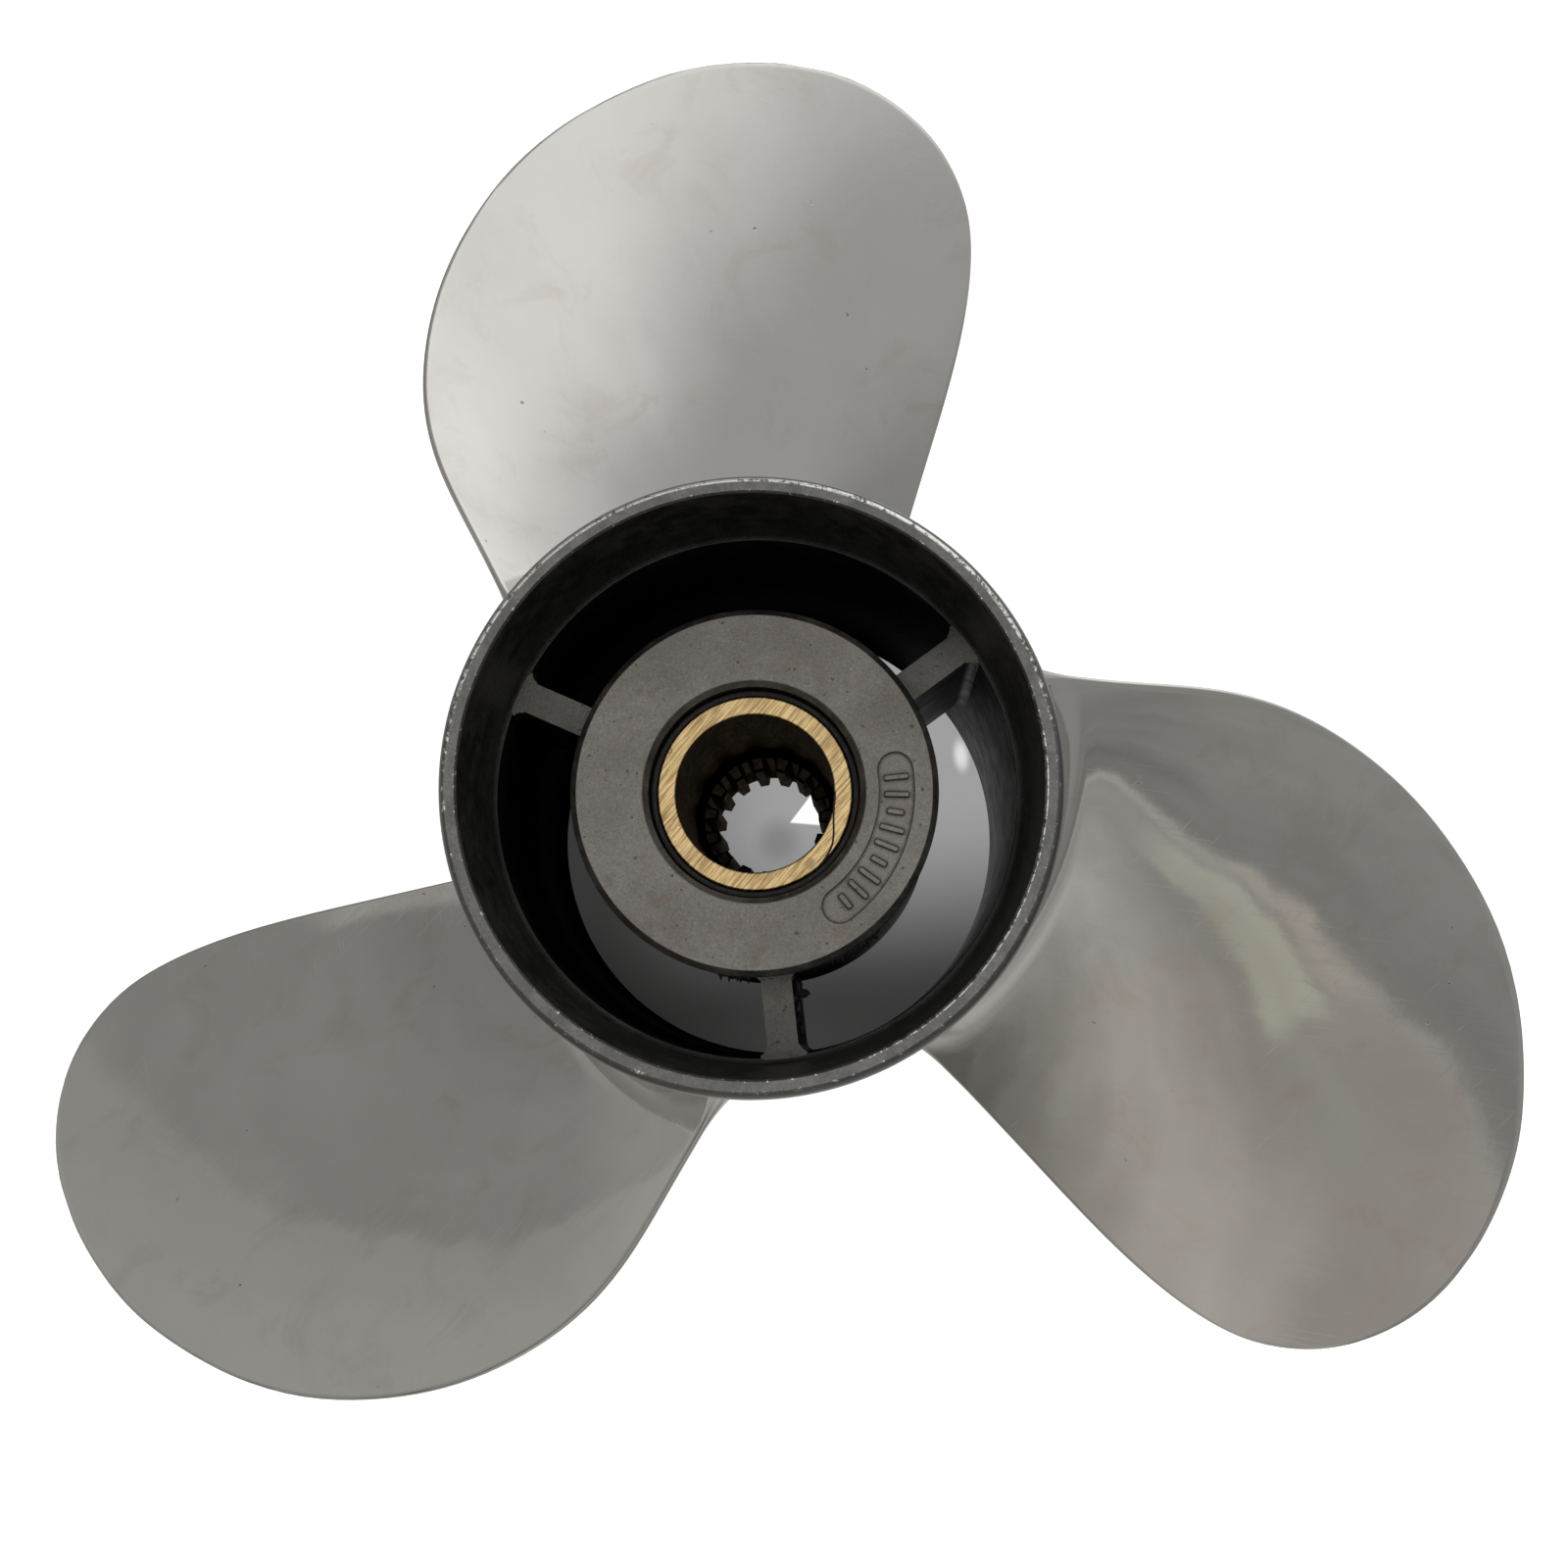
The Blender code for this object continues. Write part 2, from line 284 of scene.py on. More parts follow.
def worn_lip():
    """The aft ring's lip: cast grain, a bright rubbed outer edge and bright burrs inside, both real wear with painted
    light, the rub denser towards +Y and the burrs towards the lower right, a few nicks across, and painted shade in a
    dark band round the outer rounding and down the inner edge.
    """
    made, n, shader, place = new_material("worn_ring_lip")
    shader.inputs["Metallic"].default_value = 1.0
    flat = n.vector("MULTIPLY", place, (1.0, 1.0, 0.0))
    radius = n.vector("LENGTH", flat)
    outward = n.vector("NORMALIZE", flat)
    height = n.split(place)[2]
    # painted highlight: the rubbed outer edge shows more often towards +Y, and the burrs more often towards the lower
    # right, where light falls
    lit_up_side = n.ramp(n.split(outward)[1], -0.1, 0.75)
    lit_low_right = n.ramp(n.vector("DOT_PRODUCT", outward, (0.86, -0.51, 0.0)), 0.62, 0.95)
    grain = n.noise(place, 2100.0, 3.0, 0.7)
    mottle = n.noise(place, 260.0, 4.0, 0.6)
    chips = n.noise(place, 850.0, 4.0, 0.75)
    from_outer = n.math("ABSOLUTE", n.math("SUBTRACT", radius, 52.3 * MM))
    from_inner = n.math("ABSOLUTE", n.math("SUBTRACT", radius, 50.4 * MM))
    outer = n.ramp(from_outer, 0.12 * MM, 0.50 * MM, 1.0, 0.0)
    inner = n.ramp(from_inner, 0.10 * MM, 0.35 * MM, 1.0, 0.0)
    rub_level = n.math("ADD", chips, n.math("MULTIPLY", lit_up_side, 0.20))
    rub = n.math("MULTIPLY", outer, n.ramp(rub_level, 0.58, 0.68))
    burr_level = n.math("ADD", chips, n.math("MULTIPLY", lit_low_right, 0.16))
    burr = n.math("MULTIPLY", inner, n.ramp(burr_level, 0.59, 0.67))
    cross = n.noise(n.mapped(flat, (140, 140, 1)), 1.0, 2.0)
    nicks = n.math("MULTIPLY", n.ramp(chips, 0.70, 0.75), n.ramp(cross, 0.5, 0.6))
    bright = n.math("MAXIMUM", n.math("MAXIMUM", rub, burr), nicks)
    tint = n.mix(n.ramp(mottle, 0.35, 0.68), rgb(0.142, 0.141, 0.134), rgb(0.200, 0.198, 0.190))
    tint = n.mix(n.ramp(grain, 0.30, 0.66, 0.50, 0.0), tint, rgb(0.09, 0.09, 0.086))
    # painted shade: a dark band round the lip's outer rounding, above 121.4 mm
    shade = n.ramp(radius, 52.45 * MM, 52.85 * MM, 0.0, 0.72)
    shade = n.math("MULTIPLY", shade, n.ramp(height, 121.4 * MM, 122.6 * MM))
    tint = n.mix(shade, tint, rgb(0.050, 0.050, 0.048))
    tint = n.mix(n.ramp(height, 122.4 * MM, 121.2 * MM, 0.0, 0.85), tint, rgb(0.46, 0.455, 0.44))
    # painted shade: darker where the lip turns down into the bore
    inside = n.ramp(height, 122.8 * MM, 123.7 * MM, 0.75, 0.0)
    inside = n.math("MULTIPLY", inside, n.ramp(radius, 51.4 * MM, 51.0 * MM, 0.0, 1.0))
    tint = n.mix(inside, tint, rgb(0.05, 0.05, 0.048))
    tint = n.mix(bright, tint, rgb(0.80, 0.80, 0.78))
    n.feed(shader.inputs["Base Color"], tint)
    n.feed(shader.inputs["Roughness"], n.ramp(bright, 0.0, 1.0, 0.48, 0.30))
    normal = n.bump(mottle, 0.3, 0.0004)
    normal = n.bump(grain, 0.5, 0.00010, normal)
    normal = n.bump(bright, 0.4, -0.00010, normal)
    n.feed(shader.inputs["Normal"], normal)
    return made


def sawn_brass():
    """Brass: the aft face is golden with diagonal saw marks, everything below it dull and greasy, with a near-black
    band of painted shadow at the step above the teeth.
    """
    made, n, shader, place = new_material("sleeve_brass")
    shader.inputs["Metallic"].default_value = 1.0
    shader.inputs["Specular Tint"].default_value = rgb(0.50, 0.42, 0.32)
    height = n.split(place)[2]
    face = n.ramp(height, (SLEEVE_TOP - 0.9) * MM, (SLEEVE_TOP - 0.15) * MM)
    along = n.mapped(place, (170, 2700, 150), math.radians(43))
    marks = n.noise(along, 1.0, 4.0, 0.65)
    broad = n.noise(place, 160.0, 3.0, 0.55)
    dots = n.ramp(n.noise(place, 1100.0, 2.0, 0.6), 0.70, 0.78)
    gold = n.mix(n.ramp(marks, 0.36, 0.66), rgb(0.262, 0.175, 0.076), rgb(0.740, 0.550, 0.285))
    gold = n.mix(n.ramp(broad, 0.55, 0.75, 0.0, 0.45), gold, rgb(0.30, 0.195, 0.090))
    gold = n.mix(n.math("MULTIPLY", dots, 0.7), gold, rgb(0.10, 0.060, 0.030))
    flat = n.vector("MULTIPLY", place, (1.0, 1.0, 0.0))
    from_stain = n.vector("LENGTH", n.vector("SUBTRACT", flat, (0.0082, -0.0137, 0.0)))
    from_stain = n.math("ADD", from_stain, n.math("MULTIPLY", n.math("SUBTRACT", broad, 0.5), 0.004))
    gold = n.mix(n.ramp(from_stain, 0.0007, 0.0015, 0.65, 0.0), gold, rgb(0.235, 0.145, 0.085))
    from_punch = n.vector("LENGTH", n.vector("SUBTRACT", flat, (-0.01424, 0.00938, 0.0)))
    from_punch = n.math("ABSOLUTE", n.math("SUBTRACT", from_punch, 0.00042))
    gold = n.mix(n.ramp(from_punch, 0.00005, 0.00014, 0.8, 0.0), gold, rgb(0.09, 0.055, 0.03))
    grease_tone = n.noise(place, 420.0, 4.0, 0.6)
    grease_and_shadow = n.mix(n.ramp(grease_tone, 0.4, 0.68), rgb(0.060, 0.044, 0.030), rgb(0.170, 0.140, 0.100))
    # painted shadow: a near-black band at the step between the counterbore and the tops of the teeth
    step_shadow = n.ramp(height, (SPLINE_TOP - 2.2) * MM, (SPLINE_TOP - 1.4) * MM)
    step_shadow = n.math("MULTIPLY", step_shadow, n.ramp(height, (SPLINE_TOP + 7.0) * MM, (SPLINE_TOP + 1.5) * MM))
    grease_and_shadow = n.mix(n.math("MULTIPLY", step_shadow, 0.85), grease_and_shadow, rgb(0.012, 0.009, 0.007))
    n.feed(shader.inputs["Base Color"], n.mix(face, grease_and_shadow, gold))
    n.feed(shader.inputs["Roughness"], n.ramp(marks, 0.3, 0.7, 0.30, 0.44))
    normal = n.bump(marks, 0.5, 0.00010)
    normal = n.bump(grease_tone, 0.25, 0.00020, normal)
    n.feed(shader.inputs["Normal"], normal)
    return made


def bush_rubber():
    """Matte black moulded rubber with a faint uneven tone."""
    made, n, shader, place = new_material("bush_rubber")
    tone = n.noise(place, 600.0, 3.0, 0.6)
    tint = n.mix(n.ramp(tone, 0.35, 0.7), rgb(0.006, 0.005, 0.005), rgb(0.020, 0.017, 0.016))
    n.feed(shader.inputs["Base Color"], tint)
    n.feed(shader.inputs["Roughness"], n.ramp(tone, 0.3, 0.7, 0.55, 0.8))
    n.feed(shader.inputs["Normal"], n.bump(tone, 0.4, 0.0002))
    return made


# -------------------------------------------------------------------- meshing


def link(name, mesh, looks):
    """Puts a mesh in the scene as an object with these materials."""
    obj = bpy.data.objects.new(name, mesh)
    bpy.context.scene.collection.objects.link(obj)
    for look in looks:
        mesh.materials.append(look)
    return obj


def close_up(bm, mesh):
    """Turns the faces outwards, makes them smooth and writes them to the mesh."""
    bmesh.ops.recalc_face_normals(bm, faces=bm.faces)
    for face in bm.faces:
        face.smooth = True
    bm.to_mesh(mesh)
    bm.free()


def weighted(obj):
    """Keeps broad faces flat-looking beside their rounded corners."""
    made = obj.modifiers.new("normals", "WEIGHTED_NORMAL")
    made.mode = "FACE_AREA"
    made.weight = 60
    made.keep_sharp = True


def rounded(profile, arc_steps=5):
    """Rounds the corners of a closed profile of (radius, height, corner radius, look) rows."""
    out = []
    count = len(profile)
    for i in range(count):
        r, z, bend, look = profile[i]
        here = Vector((r, z))
        before = Vector(profile[i - 1][:2])
        after = Vector(profile[(i + 1) % count][:2])
        if bend <= 0:
            out.append((r, z, look))
            continue
        a, b = (before - here), (after - here)
        reach = min(a.length, b.length) * 0.49
        a.normalize()
        b.normalize()
        half = a.angle(b) / 2
        cut = min(bend / math.tan(half), reach)
        true_bend = cut * math.tan(half)
        middle = here + (a + b).normalized() * (true_bend / math.sin(half))
        start, end = here + a * cut - middle, here + b * cut - middle
        swing = start.angle_signed(end)
        for k in range(arc_steps + 1):
            spot = start.copy()
            spot.rotate(Matrix.Rotation(-swing * k / arc_steps, 2))
            spot += middle
            out.append((spot.x, spot.y, look))
    return out


def lathe(name, profile, looks, steps=ROUND):
    """A ring turned round +Z. Each profile row (radius, height, look) says how the band that starts there looks."""
    bm = bmesh.new()
    rows = []
    for k in range(steps):
        angle = math.tau * k / steps
        row = []
        for r, z, _ in profile:
            row.append(bm.verts.new((r * math.cos(angle) * MM, r * math.sin(angle) * MM, z * MM)))
        rows.append(row)
    count = len(profile)
    for k in range(steps):
        here, there = rows[k], rows[(k + 1) % steps]
        for i in range(count):
            j = (i + 1) % count
            face = bm.faces.new((here[i], there[i], there[j], here[j]))
            face.material_index = profile[i][2]
    mesh = bpy.data.meshes.new(name)
    close_up(bm, mesh)
    return link(name, mesh, looks)


def prism(name, outline, low, high, looks, bevel=0.0, segments=3):
    """A solid with straight sides from an outline of (x, y) points in millimetres."""
    bm = bmesh.new()
    foot = [bm.verts.new((x * MM, y * MM, low * MM)) for x, y in outline]
    top = [bm.verts.new((x * MM, y * MM, high * MM)) for x, y in outline]
    bm.faces.new(foot)
    lid = bm.faces.new(top)
    for i in range(len(foot)):
        j = (i + 1) % len(foot)
        bm.faces.new((foot[i], foot[j], top[j], top[i]))
    if bevel:
        bmesh.ops.bevel(
            bm, geom=list(lid.edges), offset=bevel * MM, segments=segments, affect="EDGES", profile=0.5
        )
    mesh = bpy.data.meshes.new(name)
    close_up(bm, mesh)
    return link(name, mesh, looks)


# --------------------------------------------------------------------- blades


def spline_through(knots, values):
    """Natural cubic spline: returns a function of one number."""
    x, y = np.array(knots, float), np.array(values, float)
    n = len(x)
    h = np.diff(x)
    system, right = np.eye(n), np.zeros(n)
    for i in range(1, n - 1):
        system[i, i - 1 : i + 2] = h[i - 1], 2 * (h[i - 1] + h[i]), h[i]
        right[i] = 6 * ((y[i + 1] - y[i]) / h[i] - (y[i] - y[i - 1]) / h[i - 1])
    bend = np.linalg.solve(system, right)

    def at(t):
        i = int(np.clip(np.searchsorted(x, t) - 1, 0, n - 2))
        a, b = x[i + 1] - t, t - x[i]
        return float(
            bend[i] * a ** 3 / (6 * h[i])
            + bend[i + 1] * b ** 3 / (6 * h[i])
            + (y[i] / h[i] - bend[i] * h[i] / 6) * a
            + (y[i + 1] / h[i] - bend[i + 1] * h[i] / 6) * b
        )

    return at


def depth_below_tip(radius):
    """The outline runs on this instead of the radius, so that it turns smoothly at the tip."""
    return math.sqrt(max(0.0, TIP_RADIUS - radius))


_by_tip = sorted(STATIONS, key=lambda row: depth_below_tip(row[0]))
_knots = [depth_below_tip(row[0]) for row in _by_tip]
LEADING = spline_through(_knots, [math.radians(row[1]) for row in _by_tip])
TRAILING = spline_through(_knots, [math.radians(row[2]) for row in _by_tip])
THICKNESS = spline_through(_knots, [row[3] for row in _by_tip])


def face_height(phi):
    """Height of the pressure face at an angle from the blade's reference line."""
    return REFERENCE_HEIGHT + PITCH * phi / math.tau + CAMBER * phi * phi


def outline_points():
    """The blade's edge as points on the pressure face, from the root round the tip and back."""
    radii = [TIP_RADIUS - (k / 260) ** 2 * (TIP_RADIUS - BARREL_RADIUS + 4) for k in range(261)]
    points = []
    for radius in radii:
        q = depth_below_tip(radius)
        for edge in (LEADING, TRAILING):
            phi = edge(q)
            points.append((radius * math.cos(phi), radius * math.sin(phi), face_height(phi)))
    return np.array(points)


def chord_places(length):
    """Distances along the chord, close together at both edges."""
    near = [0.0, 0.05, 0.14, 0.27, 0.43, 0.62, 0.9, 1.3, 2.0, 3.2, 5.0, 7.5]
    scale = min(1.0, length / 36.0)
    near = [v * scale for v in near]
    inner = np.linspace(near[-1], length - near[-1], 27)[1:-1]
    return near + list(inner) + [length - v for v in reversed(near)]


def blade(name, look):
    """One blade, built along +X in its own frame."""
    edge_points = outline_points()
    root = BARREL_RADIUS - 0.05
    quarter = math.pi / 2
    radii = [BARREL_RADIUS - 0.35]
    radii += [root + FILLET * (1 - math.cos(quarter * k / FILLET_ROWS)) for k in range(1, FILLET_ROWS + 1)]
    start = radii[-1]
    radii += [start + (SPAN_END - start) * k / SPAN_ROWS for k in range(1, SPAN_ROWS + 1)]
    radii += [SPAN_END + (TIP_RADIUS - SPAN_END) * math.sin(quarter * k / TIP_ROWS) for k in range(1, TIP_ROWS)]
    radii.append(TIP_RADIUS - 0.02)
    rings = []
    for radius in radii:
        q = depth_below_tip(radius)
        leading, trailing = LEADING(q), TRAILING(q)
        middle = (leading + trailing) / 2
        slope = PITCH / math.tau + 2 * CAMBER * middle
        length = (trailing - leading) * math.hypot(radius, slope)
        places = np.array(chord_places(length))
        phi = leading + (trailing - leading) * places / length
        height = face_height(phi)
        slopes = PITCH / math.tau + 2 * CAMBER * phi
        spots = np.stack([radius * np.cos(phi), radius * np.sin(phi), height], 1)
        gap = np.sqrt(((spots[:, None, :] - edge_points[None]) ** 2).sum(2)).min(1)
        inside = np.minimum(np.minimum(places, length - places), np.maximum(gap, 0))
        inside = np.minimum(inside, max(0.0, TIP_RADIUS - radius) * 1.4)
        edge = np.sqrt(np.clip(1 - (1 - np.clip(inside / EDGE_ROUND, 0, 1)) ** 2, 0, 1))
        u = places / length
        body = np.clip(1 - np.abs(2 * u - 1) ** np.where(u > 0.5, 1.7, 2.2), 0, 1) ** 0.85
        tip_fade = (1 - (1 - min(1.0, (TIP_RADIUS - radius) / 30.0)) ** 2.2) ** 0.85
        extra = (THICKNESS(q) - 2 * EDGE_HALF) * body * tip_fade
        face_depth = EDGE_HALF * (1 - edge)
        back_depth = EDGE_HALF * (1 + edge) + extra
        size = np.hypot(radius, slopes)
        normal = np.stack([-slopes / size, radius / size], 1)
        flat = np.stack([radius * phi, height], 1)
        face_line = flat - normal * face_depth[:, None]
        back_line = flat - normal * back_depth[:, None]
        ring = np.concatenate([face_line, back_line[-2:0:-1]])
        swell = 0.0
        if radius < root + FILLET:
            rise = max(0.0, radius - root)
            swell = FILLET - math.sqrt(max(0.0, FILLET ** 2 - (FILLET - rise) ** 2))
        if swell > 0:
            ahead, behind = np.roll(ring, -1, 0), np.roll(ring, 1, 0)
            run = ahead - behind
            run /= np.maximum(np.linalg.norm(run, axis=1), 1e-9)[:, None]
            out = np.stack([-run[:, 1], run[:, 0]], 1)
            centre = ring.mean(0)
            if ((ring - centre) * out).sum() < 0:
                out = -out
            from_leading = (ring[:, 0] / radius - leading) / (trailing - leading)
            hold = np.clip(from_leading / 0.14, 0, 1)
            share = 0.20 + 0.80 * hold * hold * (3 - 2 * hold)
            fade = np.clip((from_leading - 0.86) / 0.14, 0, 1)
            share = share * (1 - 0.55 * fade * fade * (3 - 2 * fade))
            ring = ring + out * (swell * share)[:, None]
            ring[:, 1] = np.maximum(ring[:, 1], 0.25)
        around = ring[:, 0] / radius
        rings.append(np.stack([radius * np.cos(around), radius * np.sin(around), ring[:, 1]], 1))
    tip_phi = math.radians(TIP_ANGLE)
    tip = (
        TIP_RADIUS * math.cos(tip_phi),
        TIP_RADIUS * math.sin(tip_phi),
        face_height(tip_phi) - EDGE_HALF,
    )
    bm = bmesh.new()
    rows = [[bm.verts.new(p * MM) for p in ring] for ring in rings]
    count = len(rows[0])
    for low, high in zip(rows, rows[1:]):
        for i in range(count):
            j = (i + 1) % count
            bm.faces.new((low[i], low[j], high[j], high[i]))
    point = bm.verts.new([c * MM for c in tip])
    for i in range(count):
        bm.faces.new((rows[-1][i], rows[-1][(i + 1) % count], point))
    half = count // 2
    bottom = rows[0]
    for i in range(half):
        far, farther = bottom[(count - i - 1) % count], bottom[(count - i) % count]
        bm.faces.new(list(dict.fromkeys((bottom[i], bottom[i + 1], far, farther))))
    mesh = bpy.data.meshes.new(name)
    close_up(bm, mesh)
    return link(name, mesh, [look])


# ----------------------------------------------------------------- hub pieces


def barrel(polished, wall):
    """The exhaust barrel: polished outside, dark cast bore and ledge."""
    profile = rounded([
        (BARREL_RADIUS, 0.0, 1.2, 0),
        (BARREL_RADIUS, LEDGE, 0.0, 1),
        (BARREL_BORE, LEDGE, 0.2, 1),
        (BARREL_BORE, LEDGE - 0.9, 0.0, 1),
        (BARREL_BORE, 0.0, 0.8, 1),
    ])
    return lathe("hub_barrel_shell", profile, [polished, wall])


def aft_ring(polished, wall, lip):
    """The flared ring: a polished cove outside, a worn lip and a cast wall inside."""
    cove = []
    for i in range(9):
        turn = math.pi / 2 * i / 8
        cove.append((BARREL_RADIUS + 2.3 * (1 - math.cos(turn)), 110.5 + 4.5 * math.sin(turn), 0.0, 0))
    profile = rounded([
        (BARREL_RADIUS, LEDGE, 0.0, 0),
        *cove,
        (RING_RADIUS, HUB_LENGTH - 3.0, 0.8, 2),
        (52.75, HUB_LENGTH - 0.5, 0.4, 2),
        (52.25, HUB_LENGTH, 0.25, 2),
        (50.45, HUB_LENGTH, 0.2, 2),
        (50.05, HUB_LENGTH - 0.6, 0.3, 1),
        (48.0, LEDGE, 0.0, 1),
    ])
    return lathe("aft_ring_shell", profile, [polished, wall, lip])


def inner_hub(cast, dark):
    """The inner hub: cast outside and aft face, dark bore round the bush."""
    profile = rounded([
        (HUB_RADIUS - 0.4, HUB_FOOT, 0.8, 0),
        (HUB_RADIUS - 0.4, HUB_FACE - 6.0, 2.0, 0),
        (HUB_RADIUS, HUB_FACE - 4.8, 1.0, 0),
        (HUB_RADIUS, HUB_FACE - 1.1, 0.25, 0),
        (HUB_RADIUS - 1.1, HUB_FACE, 0.3, 0),
        (19.8, HUB_FACE, 0.5, 0),
        (SHOULDER_BORE, HUB_FACE - 1.3, 0.3, 1),
        (SHOULDER_BORE, BUSH_TOP, 0.3, 1),
        (BUSH_SEAT, BUSH_TOP, 0.0, 1),
        (BUSH_SEAT, HUB_FOOT, 0.5, 1),
    ])
    return lathe("inner_hub_casting", profile, [cast, dark], 144)


def stadium(radius, wide, start, end):
    """Outline of a slot that follows a circle round the axis, with round ends, angles in degrees."""
    points = []
    sweep = 28
    for k in range(sweep + 1):
        a = math.radians(start + (end - start) * k / sweep)
        points.append(((radius + wide) * math.cos(a), (radius + wide) * math.sin(a)))
    for at, lean in ((end, 0.0), (start, math.pi)):
        a = math.radians(at)
        middle = Vector((radius * math.cos(a), radius * math.sin(a)))
        for k in range(1, 12):
            t = a + lean + math.pi * k / 12
            points.append((middle.x + wide * math.cos(t), middle.y + wide * math.sin(t)))
        if lean == 0.0:
            for k in range(sweep + 1):
                b = math.radians(end + (start - end) * k / sweep)
                points.append(((radius - wide) * math.cos(b), (radius - wide) * math.sin(b)))
    return points


def apply_cut(obj, cutter):
    """Cuts the cutter's solid out of the object for good, and removes the cutter."""
    cut = obj.modifiers.new("cut", "BOOLEAN")
    cut.operation = "DIFFERENCE"
    cut.solver = "EXACT"
    cut.object = cutter
    graph = bpy.context.evaluated_depsgraph_get()
    mesh = bpy.data.meshes.new_from_object(obj.evaluated_get(graph))
    obj.modifiers.clear()
    obj.data = mesh
    bpy.data.objects.remove(cutter, do_unlink=True)


def size_cartouche(hub, cast):
    """A sunk, round-ended panel on the hub face with a row of plain raised bars. It carries no lettering."""
    radius, half_width, start, end = 25.2, 3.2, -60.0, 2.0
    pocket = prism("pocket", stadium(radius, half_width, start, end), HUB_FACE - 0.8, HUB_FACE + 2.0, [cast])
    apply_cut(hub, pocket)
    hub.data.set_sharp_from_angle(angle=math.radians(32))
    bars = []
    for k in range(9):
        angle = math.radians(start + 3.0 + (end - start - 6.0) * k / 8)
        long = 2.15 if k % 3 else 1.5
        outline = []
        for x, y in ((-long, -0.5), (long, -0.5), (long, 0.5), (-long, 0.5)):
            rx = radius + x
            outline.append((
                rx * math.cos(angle) - y * math.sin(angle),
                rx * math.sin(angle) + y * math.cos(angle),
            ))
        bars.append(prism(f"hub_mark_bar_{k + 1}", outline, HUB_FACE - 1.0, HUB_FACE - 0.1, [cast], 0.25, 3))
    return bars


def rib_outline(inner, outer, half, inner_fillet, outer_fillet):
    """The rib seen along the axis, pointing along +X, flared where it meets the hub and the wall."""
    side = []
    reach = inner + inner_fillet
    cy = half + inner_fillet
    cx = math.sqrt(reach * reach - cy * cy)
    begin = math.atan2(cy, cx)
    for i in range(7):
        turn = begin + (math.pi / 2 - begin) * i / 6
        side.append((cx - inner_fillet * math.cos(turn), -cy + inner_fillet * math.sin(turn)))
    reach = outer - outer_fillet
    cy = half + outer_fillet
    cx = math.sqrt(reach * reach - cy * cy)
    lean = math.atan2(cy, cx)
    for i in range(9):
        turn = (math.pi / 2 - lean) * i / 8
        side.append((cx + outer_fillet * math.sin(turn), -cy + outer_fillet * math.cos(turn)))
    x, y = side[-1]
    swing = math.atan2(-y, x)
    wall = outer + 0.35
    outer_arc = [(wall * math.cos(a), wall * math.sin(a)) for a in np.linspace(-swing, swing, 9)]
    x, y = side[0]
    swing = math.atan2(-y, x)
    core = inner - 0.9
    inner_arc = [(core * math.cos(a), core * math.sin(a)) for a in np.linspace(swing, -swing, 7)]
    return side + outer_arc + [(x, -y) for x, y in reversed(side)] + inner_arc


def rib(name, angle, look):
    """One straight rib between the inner hub and the barrel's wall."""
    outline = rib_outline(HUB_RADIUS - 0.45, BARREL_BORE, RIB_HALF, 1.0, 1.8)
    cos, sin = math.cos(angle), math.sin(angle)
    turned = [(x * cos - y * sin, x * sin + y * cos) for x, y in outline]
    return prism(name, turned, RIB_FOOT, LEDGE + 0.02, [look], 0.3, 3)


def splined_sleeve(look):
    """The brass sleeve: outer wall, sawn aft face, plain counterbore, and internal teeth with eased corners."""
    per_tooth = 16
    count = TEETH * per_tooth
    pitch = math.tau / TEETH

    def tooth_radius(angle):
        along = abs((((angle - math.radians(SPLINE_TURN)) / pitch + 0.5) % 1.0) - 0.5)
        rise = min(1.0, max(0.0, (0.325 - along) / 0.11))
        rise = rise * rise * (3 - 2 * rise)
        return SPLINE_MAJOR + (SPLINE_MINOR - SPLINE_MAJOR) * rise

    def plain(radius):
        return lambda angle: radius

    def eased(share):
        return lambda angle: SPLINE_MAJOR - (SPLINE_MAJOR - tooth_radius(angle)) * share

    def end(angle):
        return min(tooth_radius(angle), SPLINE_END)

    rows = [
        (plain(SLEEVE_RADIUS - 0.8), SLEEVE_FOOT),
        (plain(SLEEVE_RADIUS - 0.2), SLEEVE_FOOT + 0.25),
        (plain(SLEEVE_RADIUS), SLEEVE_FOOT + 0.9),
        (plain(SLEEVE_RADIUS), SLEEVE_TOP - 0.45),
        (plain(SLEEVE_RADIUS - 0.12), SLEEVE_TOP - 0.14),
        (plain(SLEEVE_RADIUS - 0.42), SLEEVE_TOP),
        (plain(COUNTERBORE + 0.35), SLEEVE_TOP),
        (plain(COUNTERBORE + 0.1), SLEEVE_TOP - 0.1),
        (plain(COUNTERBORE), SLEEVE_TOP - 0.35),
        (plain(COUNTERBORE), SPLINE_TOP + 1.2),
        (plain(COUNTERBORE - 0.35), SPLINE_TOP + 0.7),
        (plain(SPLINE_MAJOR + 0.2), SPLINE_TOP + 0.1),
        (eased(0.0), SPLINE_TOP - 0.15),
        (eased(0.75), SPLINE_TOP - 0.5),
        (eased(0.95), SPLINE_TOP - 0.9),
        (eased(1.0), SPLINE_TOP - 1.5),
        (eased(1.0), SPLINE_FOOT + 3.0),
        (end, SPLINE_FOOT + 1.0),
        (end, SPLINE_FOOT),
        (plain(SPLINE_MAJOR + 0.6), SPLINE_FOOT - 0.8),
        (plain(SPLINE_MAJOR + 1.2), SLEEVE_FOOT),
    ]
    bm = bmesh.new()
    loops = []
    for radius_at, z in rows:
        loop = []
        for k in range(count):
            angle = math.tau * k / count
            r = radius_at(angle)
            loop.append(bm.verts.new((r * math.cos(angle) * MM, r * math.sin(angle) * MM, z * MM)))
        loops.append(loop)
    for k in range(len(loops)):
        low, high = loops[k], loops[(k + 1) % len(loops)]
        for i in range(count):
            j = (i + 1) % count
            bm.faces.new((low[i], low[j], high[j], high[i]))
    mesh = bpy.data.meshes.new("brass_splined_sleeve")
    close_up(bm, mesh)
    return link("brass_splined_sleeve", mesh, [look])


